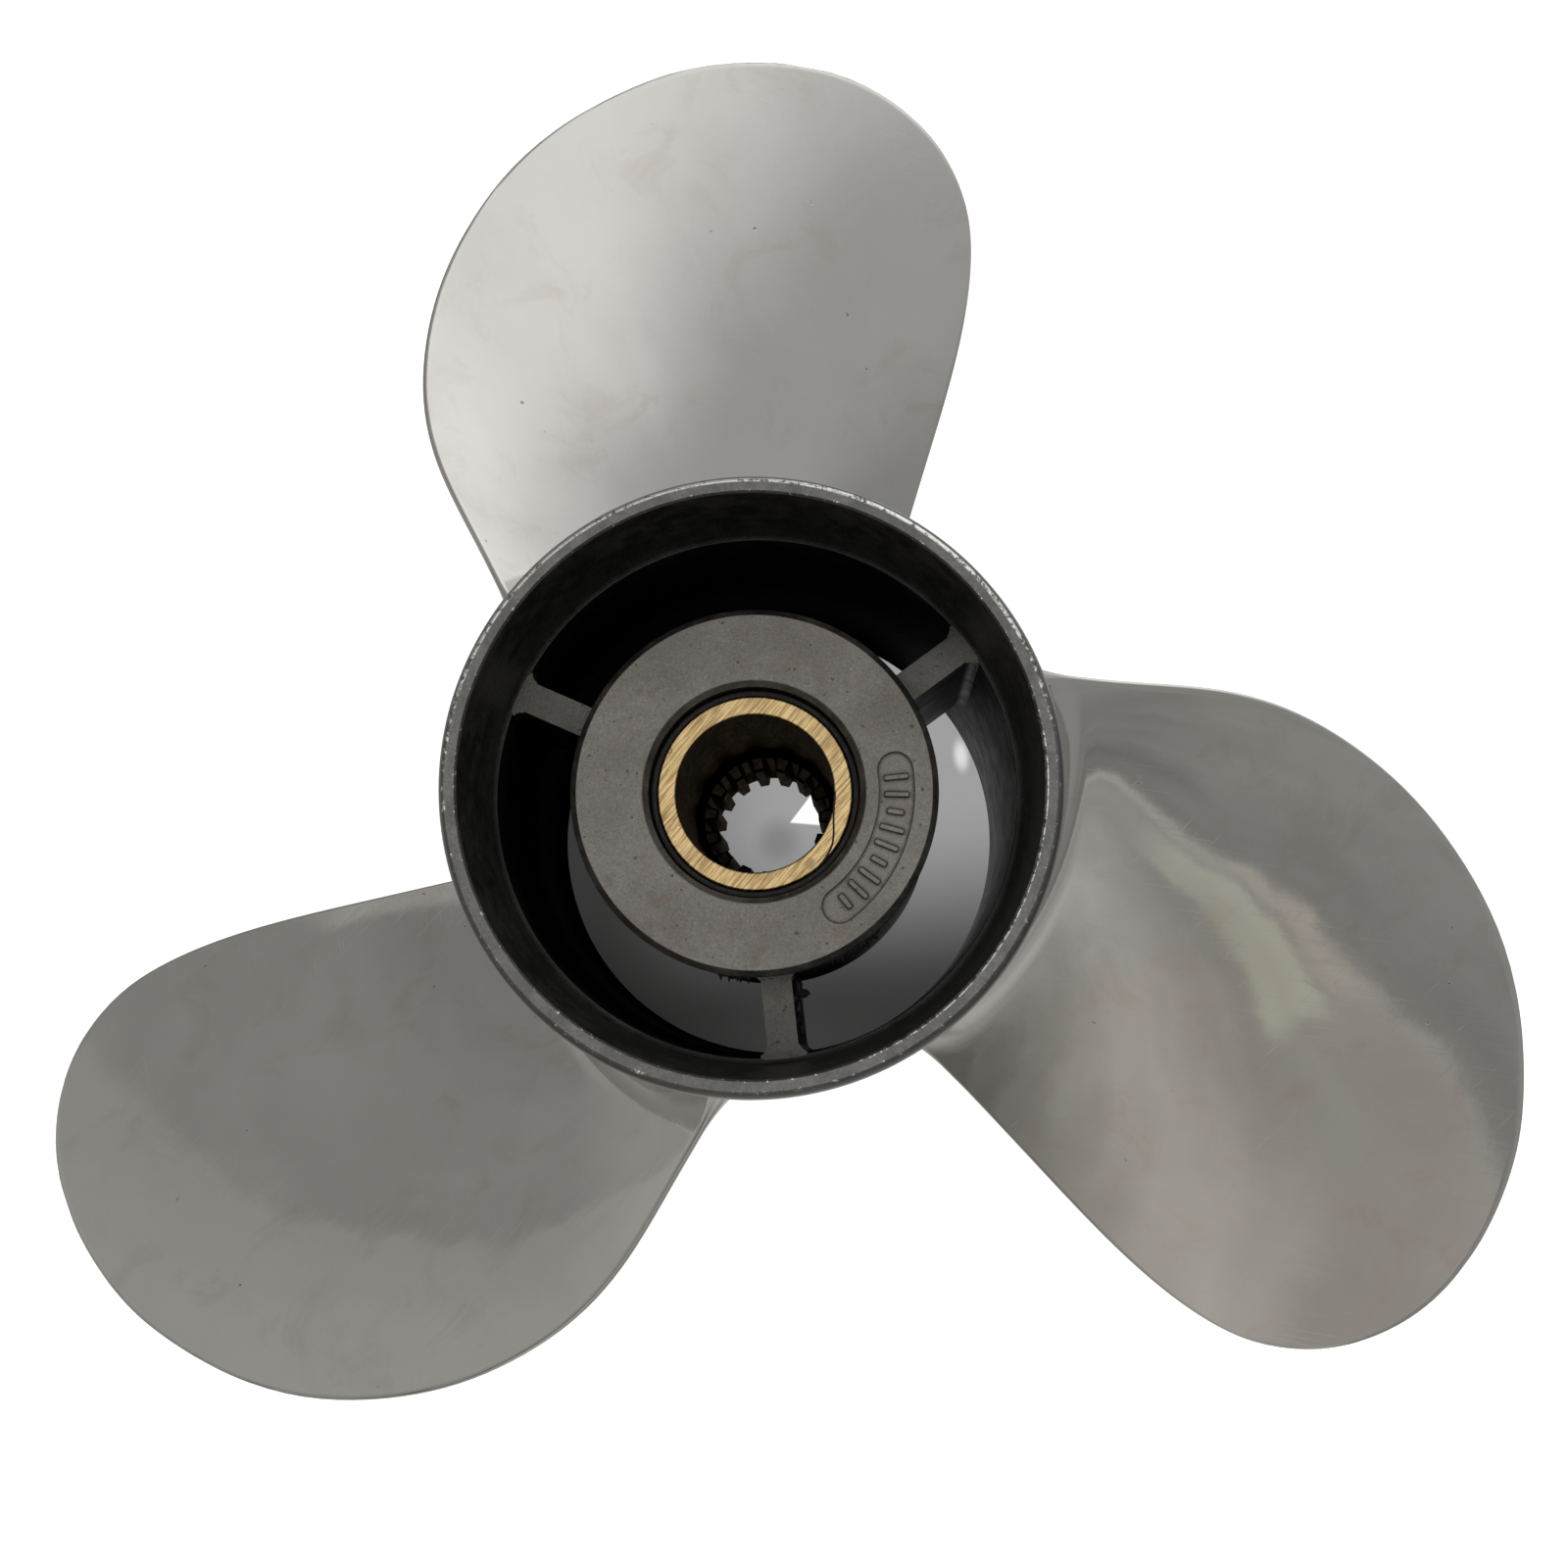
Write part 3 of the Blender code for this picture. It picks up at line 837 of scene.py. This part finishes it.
def rubber_bush(look):
    """The bush: a thick ring under the hub's shoulder, with a thin neck that shows round the brass."""
    profile = rounded([
        (17.5, 27.5, 0.4, 0),
        (27.0, 27.5, 1.5, 0),
        (28.4, 31.0, 2.0, 0),
        (28.4, 102.8, 0.3, 0),
        (18.6, 102.8, 0.0, 0),
        (18.6, 104.3, 0.4, 0),
        (17.5, 104.3, 0.2, 0),
    ])
    return lathe("bonded_rubber_bush", profile, [look], 120)


def stray_hair(look):
    """A fine dark hair lying across the sleeve's aft face, from the bore to the outer edge."""
    places = (
        (14.1, -1.2), (14.1, -1.9), (13.65, -4.2), (13.3, -6.6), (13.05, -8.8),
        (12.6, -10.6), (11.7, -12.2), (10.6, -13.5), (9.9, -14.2),
    )
    rise = (-0.5, 0.16, 0.2, 0.16, 0.15, 0.17, 0.2, 0.15, 0.12)
    data = bpy.data.curves.new("stray_hair", "CURVE")
    data.dimensions = "3D"
    data.bevel_depth = 0.17 * MM
    data.bevel_resolution = 3
    data.resolution_u = 8
    data.use_fill_caps = True
    line = data.splines.new("BEZIER")
    line.bezier_points.add(len(places) - 1)
    for point, (x, y), lift in zip(line.bezier_points, places, rise):
        point.co = (x * MM, y * MM, (SLEEVE_TOP + lift) * MM)
        point.handle_left_type = point.handle_right_type = "AUTO"
    holder = bpy.data.objects.new("hair_line", data)
    bpy.context.scene.collection.objects.link(holder)
    mesh = bpy.data.meshes.new_from_object(holder.evaluated_get(bpy.context.evaluated_depsgraph_get()))
    mesh.materials.clear()
    bpy.data.objects.remove(holder, do_unlink=True)
    return link("stray_hair", mesh, [look])


def ragged(t, seed):
    """A jagged number from 0 to 1 that depends only on t."""
    wave = math.sin(t * 1.3 + seed) + 0.8 * math.sin(t * 3.1 + 2.2 * seed) + 0.6 * math.sin(t * 7.7 + 0.7 * seed)
    return min(1.0, max(0.0, 0.42 + 0.32 * wave))


def rubber_flash(name, start, end, look):
    """Torn skin of rubber that sticks out beside the inner hub, from one angle to another."""
    steps = 60
    bm = bmesh.new()
    rows = []
    for k in range(steps + 1):
        share = k / steps
        angle = math.radians(start + (end - start) * share)
        ends = min(1.0, 6 * share, 6 * (1 - share))
        reach = HUB_RADIUS - 0.2 + 1.3 * ends * ragged(k * 0.42 + start, 1.7)
        z = FLASH_HEIGHT + 1.2 * math.sin(k * 0.11)
        rooted = HUB_RADIUS - 1.0
        corners = ((rooted, z + 0.9), (reach, z + 0.25), (reach - 0.05, z - 0.25), (rooted, z - 0.9))
        cos, sin = math.cos(angle), math.sin(angle)
        rows.append([bm.verts.new((r * cos * MM, r * sin * MM, h * MM)) for r, h in corners])
    for a, b in zip(rows, rows[1:]):
        for i in range(4):
            j = (i + 1) % 4
            bm.faces.new((a[i], a[j], b[j], b[i]))
    bm.faces.new(rows[0])
    bm.faces.new(list(reversed(rows[-1])))
    mesh = bpy.data.meshes.new(name)
    close_up(bm, mesh)
    return link(name, mesh, [look])


def rubber_crumb(name, spot, size, seed, look):
    """A torn crumb of rubber stuck beside the lower rib."""
    bm = bmesh.new()
    bmesh.ops.create_icosphere(bm, subdivisions=3, radius=1.0)
    for vert in bm.verts:
        x, y, z = vert.co
        swell = 0.75 + 0.5 * ragged(3 * x + 5 * y + 2 * z + seed, seed)
        vert.co = [(c + d * s * swell) * MM for c, d, s in zip(spot, (x, y, z), size)]
    mesh = bpy.data.meshes.new(name)
    close_up(bm, mesh)
    return link(name, mesh, [look])


# --------------------------------------------------------------- stage, lights


def disc(name, radius, height, grey, glow):
    """A flat round piece of the stage, lit from itself so that it stays even. Sizes in metres."""
    made, _, shader, _ = new_material(name)
    shader.inputs["Base Color"].default_value = rgb(grey, grey, grey)
    shader.inputs["Roughness"].default_value = 0.9
    shader.inputs["Specular IOR Level"].default_value = 0.0
    shader.inputs["Emission Color"].default_value = rgb(1.0, 1.0, 1.0)
    shader.inputs["Emission Strength"].default_value = glow
    bm = bmesh.new()
    bmesh.ops.create_circle(bm, cap_ends=True, segments=128, radius=radius)
    mesh = bpy.data.meshes.new(name)
    bm.to_mesh(mesh)
    bm.free()
    flat = link(name, mesh, [made])
    flat.location.z = height
    return flat


def glow_of(flat):
    """A disc's node calls, its glow socket and its coordinates in millimetres."""
    n = Nodes(flat.data.materials[0].node_tree)
    place = n.vector("SCALE", n.add("ShaderNodeTexCoord").outputs["Object"], None, 1 / MM)
    return n, n.tree.nodes["Principled BSDF"].inputs["Emission Strength"], place


def floor():
    """A pale, softly lit floor. Under the hub lie two small discs: a dim one that the metal reflects, glowing near
    its middle and on its +X side as painted light, and just above it the one that shows through the passages and the
    bore, with painted light and shade on it."""
    disc("floor", 6.0, -0.0004, 0.78, 0.80).visible_glossy = False
    n, strength, place = glow_of(disc("shade_under_hub", PATCH_RADIUS, -0.0003, 0.01, 1.0))
    x, y, _ = n.split(place)
    # painted light: this disc glows near its middle and on its +X side, so that the walls reflect it
    middle = n.ramp(n.vector("LENGTH", place), 22.0, 16.0, 0.0, 0.09)
    side = n.math("MULTIPLY", n.ramp(x, 15.0, 38.0, 0.0, 0.36), n.ramp(y, 34.0, 12.0))
    n.feed(strength, n.math("ADD", side, middle))

    patch = disc("floor_under_hub", PATCH_RADIUS, -0.0001, 0.40, 1.0)
    patch.visible_glossy = False
    patch.visible_diffuse = False
    n, strength, place = glow_of(patch)
    x, y, _ = n.split(place)
    # painted light and shade: the floor seen through the hub grows lighter towards +X and +Y, darker in a small spot
    # at the middle, with a painted highlight near (42.6, 14.0)
    spot = n.vector("LENGTH", n.vector("SUBTRACT", place, (0.2, 0.0, 0.0)))
    painted_light = n.math("MULTIPLY", n.ramp(y, -38.0, 6.0, 0.028, 0.33), n.ramp(x, -42.0, 4.0, 0.08, 1.0))
    painted_light = n.math("MULTIPLY", painted_light, n.ramp(spot, 1.0, 7.0, 0.70, 1.0))
    gleam = n.vector("SUBTRACT", place, (42.6, 14.0, 0.0))
    gleam = n.vector("LENGTH", n.vector("MULTIPLY", gleam, (0.55, 0.26, 1.0)))
    painted_light = n.math("ADD", painted_light, n.ramp(gleam, 0.2, 1.3, 0.38, 0.0))
    # a painted wedge of light on the floor, with its corner at (2.7, 3.5), between two straight edges
    from_x, from_y = n.math("SUBTRACT", x, 2.7), n.math("SUBTRACT", y, 3.5)
    upper = n.math("SUBTRACT", n.math("MULTIPLY", from_x, 1.04), from_y)
    lower = n.math("ADD", from_y, n.math("MULTIPLY", from_x, 0.21))
    wedge = n.math("MULTIPLY", n.ramp(upper, -0.2, 0.5), n.ramp(lower, -0.2, 0.6))
    wedge = n.math("MULTIPLY", wedge, n.ramp(x, 15.0, 19.0, 1.0, 0.0))
    n.feed(strength, n.math("MAXIMUM", painted_light, wedge))


def studio_dome():
    """Soft studio light as a dome of big, gently edged cards. It is laid out on a flat map of the sky:
    degrees from straight up, spread out along +X and +Y."""
    world = bpy.data.worlds.new("studio_dome")
    bpy.context.scene.world = world
    world.use_nodes = True
    n = Nodes(world.node_tree)
    background = world.node_tree.nodes["Background"]
    ray = n.add("ShaderNodeTexCoord").outputs["Generated"]
    ray_x, ray_y, up = n.split(ray)
    tilt = n.math("MULTIPLY", n.math("ARCCOSINE", up), 180 / math.pi)
    level = n.math("SQRT", n.math("MAXIMUM", n.math("SUBTRACT", 1.0, n.math("MULTIPLY", up, up)), 1e-5))
    spread = n.math("DIVIDE", tilt, level)
    ripple = n.add("ShaderNodeTexNoise")
    n.feed(ripple.inputs["Vector"], ray)
    n.feed(ripple.inputs["Scale"], 3.4)
    n.feed(ripple.inputs["Detail"], 2.0)
    shift_x, shift_y, _ = n.split(n.vector("SUBTRACT", ripple.outputs[1], (0.5, 0.5, 0.5)))

    def flat_axis(output, wobble):
        return n.math("ADD", n.math("MULTIPLY", output, spread), n.math("MULTIPLY", wobble, 9.0))

    x = flat_axis(ray_x, shift_x)
    y = flat_axis(ray_y, shift_y)
    down = n.math("MULTIPLY", y, -1.0)

    # +X side: a large bright window card that fades towards -Y and outwards
    window_size = n.ramp(x, 55.0, 86.0, 0.56, 0.06)
    slanted = n.math("SUBTRACT", y, n.math("MULTIPLY", n.math("SUBTRACT", x, 41.0), 0.40))
    window = n.math("MULTIPLY", window_size, n.ramp(slanted, 4.0, 33.0))
    low_end = n.ramp(y, 0.0, -12.0, 0.0, 0.11)
    side_x = n.math("SUBTRACT", n.math("ADD", window, 0.445), low_end)
    side_x = n.math("ADD", side_x, n.ramp(y, 42.0, 72.0, 0.0, 0.17))
    side_x = n.math("ADD", side_x, n.ramp(y, -2.0, 5.0, 0.0, 0.035))

    # -Y side: soft folds of light and dark beside one crisp edge, with a narrow pale card next to it
    bend = n.math("POWER", n.math("MAXIMUM", n.math("SUBTRACT", down, 52.0), 0.0), 2.0)
    across = n.math("SUBTRACT", n.math("ADD", x, 10.3), n.math("MULTIPLY", bend, 0.0077))
    folds = n.add("ShaderNodeValToRGB")
    stops = (
        (-56, 0.15), (-50, 0.20), (-42, 0.27), (-36, 0.37), (-31, 0.46), (-25, 0.50),
        (-19, 0.44), (-14, 0.37), (-10, 0.345), (-2, 0.385), (0.2, 0.40), (1.4, 0.285),
        (5, 0.272), (10, 0.305), (14, 0.328), (30, 0.345),
    )
    while len(folds.color_ramp.elements) < len(stops):
        folds.color_ramp.elements.new(0.5)
    for element, (where, light) in zip(folds.color_ramp.elements, stops):
        element.position = (where + 60) / 100
        element.color = (light, light, light, 1.0)
    slide = n.math("MULTIPLY", n.math("MAXIMUM", n.math("SUBTRACT", 54.0, down), 0.0), 0.45)
    slide = n.math("MULTIPLY", slide, n.ramp(across, -3.0, -12.0))
    n.feed(folds.inputs["Fac"], n.math("DIVIDE", n.math("ADD", n.math("SUBTRACT", across, slide), 60.0), 100.0))
    card = n.math("MULTIPLY", n.ramp(across, -10.5, -8.8), n.ramp(across, -3.4, -2.4, 1.0, 0.0))
    card = n.math("MULTIPLY", card, n.math("MULTIPLY", n.ramp(down, 55.0, 58.5), n.ramp(down, 96.0, 84.0)))
    rim = n.math("MULTIPLY", n.ramp(across, -2.2, -1.2), n.ramp(across, 0.0, 0.7, 1.0, 0.0))
    rim = n.math("MULTIPLY", rim, n.ramp(down, 55.0, 60.0))
    warm = n.math("MULTIPLY", n.ramp(across, 2.0, -1.0), n.ramp(down, 82.0, 66.0))
    warmth = n.mix(warm, rgb(1.0, 1.0, 0.975), rgb(1.05, 1.0, 0.94))
    side_low = n.vector("MULTIPLY", folds.outputs["Color"], warmth)
    far = n.math("SUBTRACT", n.ramp(across, -2.0, -12.0, 0.0, 0.13), n.ramp(across, -4.0, 8.0, 0.0, 0.15))
    far = n.math("ADD", n.math("MULTIPLY", far, n.ramp(down, 82.0, 98.0)), n.ramp(down, 48.0, 38.0, 1.0, 1.09))
    side_low = n.vector("SCALE", side_low, None, far)
    side_low = n.vector("ADD", side_low, n.vector("SCALE", (0.135, 0.145, 0.095), None, card))
    side_low = n.vector("ADD", side_low, n.vector("SCALE", (0.10, 0.085, 0.065), None, rim))

    lane = n.add("ShaderNodeCombineXYZ")
    n.feed(lane.inputs[0], n.math("MULTIPLY", across, 0.30))
    n.feed(lane.inputs[1], n.math("MULTIPLY", down, 0.035))
    streak = n.math("MULTIPLY", n.math("SUBTRACT", n.noise(lane.outputs[0], 1.0, 3.0, 0.6), 0.5), 0.16)
    side_low = n.vector("ADD", side_low, n.vector("SCALE", (1.0, 1.0, 1.0), None, streak))

    # +Y, -X side: an even grey wall above a lighter one, with a crisp curved edge between them
    arch = n.math("MULTIPLY", n.math("POWER", n.math("ABSOLUTE", n.math("ADD", x, 58.0)), 2.0), 0.0055)
    edge_height = n.math("SUBTRACT", n.math("SUBTRACT", 44.5, arch), y)
    side_high = n.math("ADD", n.ramp(edge_height, -0.4, 1.0, 0.315, 0.385), n.ramp(edge_height, 2.0, 12.0, 0.0, 0.05))
    side_high = n.math("SUBTRACT", side_high, n.ramp(edge_height, -32.0, -14.0, 0.045, 0.0))
    side_high = n.math("ADD", side_high, n.ramp(x, -86.0, -104.0, 0.0, 0.06))
    band = n.add("ShaderNodeCombineXYZ")
    n.feed(band.inputs[0], n.math("MULTIPLY", x, 0.04))
    n.feed(band.inputs[1], n.math("MULTIPLY", y, 0.22))
    band_light = n.math("SUBTRACT", n.noise(band.outputs[0], 1.0, 3.0, 0.6), 0.5)
    side_high = n.math("ADD", side_high, n.math("MULTIPLY", band_light, 0.06))
    corner = n.math("MULTIPLY", n.ramp(x, -20.5, -18.0, 0.0, 0.16), n.ramp(y, 50.0, 60.0))
    side_high = n.math("ADD", side_high, corner)

    on_x = n.ramp(x, 12.0, 34.0)
    on_low = n.math("MULTIPLY", n.ramp(y, -8.0, -26.0), n.math("SUBTRACT", 1.0, n.ramp(x, 30.0, 50.0)))
    on_high = n.math("MULTIPLY", n.ramp(y, 8.0, 24.0), n.math("SUBTRACT", 1.0, on_x))
    light = n.mix(on_high, rgb(0.36, 0.36, 0.35), n.vector("SCALE", (1.0, 1.0, 0.975), None, side_high))
    light = n.mix(on_x, light, n.vector("SCALE", (1.0, 1.0, 1.0), None, side_x))
    light = n.mix(on_low, light, side_low)
    # the -X, -Y corner near the horizon, the light from straight above, and everything below the horizon
    corner_low = n.math("MULTIPLY", n.ramp(x, -32.0, -50.0), n.ramp(y, 0.0, -20.0))
    corner_low = n.math("MULTIPLY", corner_low, n.ramp(tilt, 78.0, 98.0))
    light = n.mix(corner_low, light, rgb(0.46, 0.455, 0.44))
    light = n.mix(n.ramp(tilt, 34.0, 24.0), light, rgb(1.30, 1.29, 1.27))
    light = n.mix(n.ramp(tilt, 118.0, 136.0), light, rgb(0.62, 0.62, 0.61))
    # the background itself is plain and pale
    seen = n.add("ShaderNodeLightPath").outputs["Is Camera Ray"]
    n.feed(background.inputs["Color"], n.mix(seen, light, rgb(0.93, 0.93, 0.925)))
    background.inputs["Strength"].default_value = 1.0


def camera():
    """The photograph's view: almost along the shaft, from half a metre above the aft end."""
    data = bpy.data.cameras.new("camera")
    data.sensor_width = 36.0
    data.lens = 53.85
    data.clip_start = 0.01
    data.clip_end = 50.0
    made = bpy.data.objects.new("camera", data)
    bpy.context.scene.collection.objects.link(made)
    ahead = Vector((-0.02434, 0.10786, -0.99387)).normalized()
    up = Vector((0.11929, 0.98737, 0.10423))
    right = ahead.cross(up).normalized()
    up = right.cross(ahead)
    turn = Matrix((right, up, -ahead)).transposed().to_4x4()
    turn.translation = Vector((0.01549, -0.04391, 0.51901))
    made.matrix_world = turn
    bpy.context.scene.camera = made


# ---------------------------------------------------------------------- build

camera()
floor()
studio_dome()
bpy.context.scene.view_settings.view_transform = "Standard"

POLISHED = polished_steel("polished_stainless", 0)
FACE = cast_steel("hub_face_casting", (0.160, 0.149, 0.134), (0.250, 0.238, 0.218), 0.50, corner_shade=True)
# painted shade: the ring wall, bore, rib and bush-bore castings below are darker copies of the hub face's cast
# finish, for surfaces deep inside
WALL = cast_steel("ring_wall_casting", (0.088, 0.087, 0.083), (0.120, 0.119, 0.114), 0.50)
# painted shade: the near-black that the bore and rib castings turn to deeper inside the barrel
DEPTH_SHADE = (0.016, 0.016, 0.015)
INNER = cast_steel("inner_casting", (0.040, 0.040, 0.038), (0.060, 0.060, 0.057), 0.50, depth_shade=(84.0, 104.0, DEPTH_SHADE))
RIB = cast_steel("rib_casting", (0.098, 0.094, 0.086), (0.132, 0.127, 0.118), 0.50, depth_shade=(90.0, 98.5, DEPTH_SHADE))
PIT = cast_steel("dark_crevice_casting", (0.012, 0.011, 0.010), (0.020, 0.019, 0.017), 0.60)
LIP = worn_lip()
BRASS = sawn_brass()
RUBBER = bush_rubber()


def place(piece, body, slot, *nodes):
    """Says which body the piece rides on and which CAD nodes it stands for; slot, its finish, is not used."""
    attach(piece, body)
    if nodes:
        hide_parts(*nodes)
    return piece


weighted(place(barrel(POLISHED, INNER), "propeller", "polished_stainless", "hub_barrel"))
weighted(place(aft_ring(POLISHED, WALL, LIP), "propeller", "as_cast_stainless", "diffuser_ring"))
HUB = inner_hub(FACE, PIT)
BARS = size_cartouche(HUB, FACE)
weighted(place(HUB, "propeller", "as_cast_stainless", "inner_hub"))
for bar in BARS:
    weighted(place(bar, "propeller", "as_cast_stainless"))
for k in range(3):
    angle = math.radians(RIB_ANGLE + 120.0 * k)
    weighted(place(rib(f"exhaust_rib_{k + 1}", angle, RIB), "propeller", "as_cast_stainless", f"rib_{k + 1}"))
for k in range(3):
    angle = math.radians(90.0 - 120.0 * k)
    skin = blade(f"polished_blade_{k + 1}", polished_steel(f"polished_blade_steel_{k + 1}", k + 1, angle))
    skin.data.transform(Matrix.Rotation(angle, 4, "Z"))
    place(skin, "propeller", "polished_stainless", f"blade_{k + 1}")
weighted(place(splined_sleeve(BRASS), "drive_sleeve", "sleeve_brass", "splined_sleeve"))
place(rubber_bush(RUBBER), "propeller", "bush_rubber", "rubber_bush")
place(stray_hair(RUBBER), "drive_sleeve", "sleeve_brass")
place(rubber_flash("rubber_flash_1", -75.0, -53.0, RUBBER), "propeller", "bush_rubber")
place(rubber_flash("rubber_flash_2", -111.0, -96.0, RUBBER), "propeller", "bush_rubber")
CRUMBS = (
    ((3.3, -34.6, 94.5), (0.9, 1.6, 1.2)),
    ((4.0, -35.9, 94.0), (1.2, 0.9, 1.0)),
    ((3.1, -38.6, 95.5), (0.6, 1.9, 1.4)),
    ((3.2, -42.2, 94.0), (0.6, 1.3, 1.6)),
)
for k, (spot, size) in enumerate(CRUMBS):
    place(rubber_crumb(f"rubber_crumb_{k + 1}", spot, size, 0.9 + 1.3 * k, RUBBER), "propeller", "bush_rubber")
